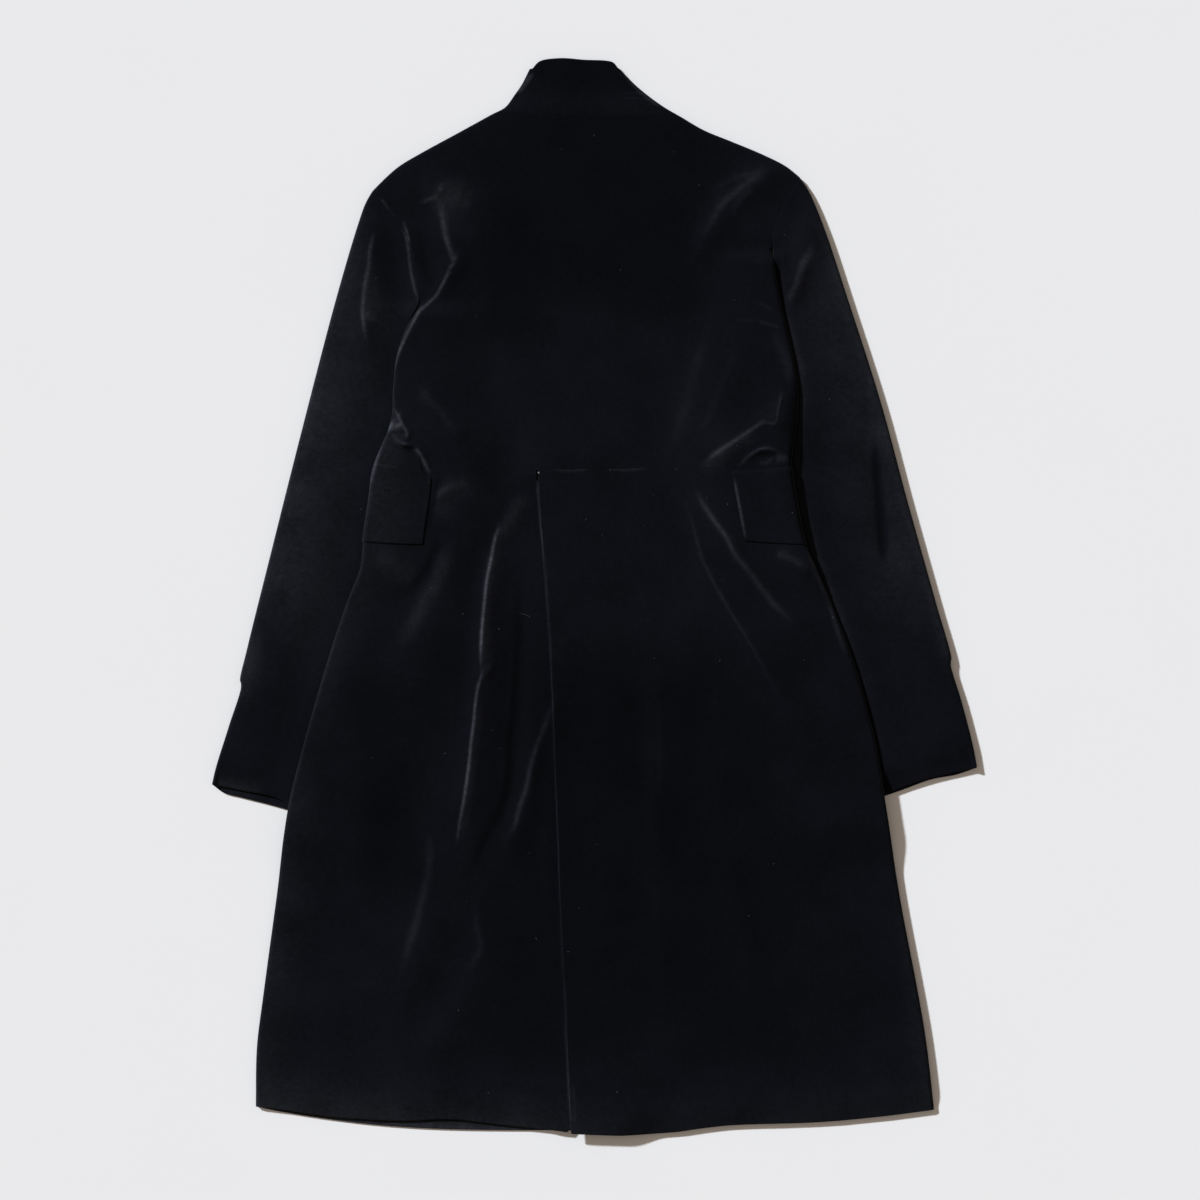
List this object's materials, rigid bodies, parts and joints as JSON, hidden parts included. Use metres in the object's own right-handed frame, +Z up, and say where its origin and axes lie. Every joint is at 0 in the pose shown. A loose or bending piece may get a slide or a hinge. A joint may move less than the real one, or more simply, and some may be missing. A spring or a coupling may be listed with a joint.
{
  "type": "velvet hussar-style coat",
  "caption": "Fitted velvet coat laid flat, front down: stand collar, long sleeves vented at the cuff, waist seam with a flap at each side, skirt with a lapped back vent.",
  "frame": {"origin": "on the surface that the coat lies on, under the middle of its outline", "axes": "+Y from the hem to the collar, +Z up through the coat's back, +X to the right as seen from above"},
  "size_m": [0.767, 1.079, 0.0204],
  "materials": {
    "velvet": "short black velvet pile"
  },
  "bodies": {
    "root": {"bodice_centre_back": "velvet", "bodice_side_back_left": "velvet", "bodice_side_back_right": "velvet", "skirt_back_left": "velvet", "skirt_back_right": "velvet", "front_left": "velvet", "front_right": "velvet", "sleeve_left_back": "velvet", "sleeve_left_front": "velvet", "sleeve_right_back": "velvet", "sleeve_right_front": "velvet", "collar": "velvet", "flap_left": "velvet", "flap_right": "velvet"}
  },
  "joints": []
}
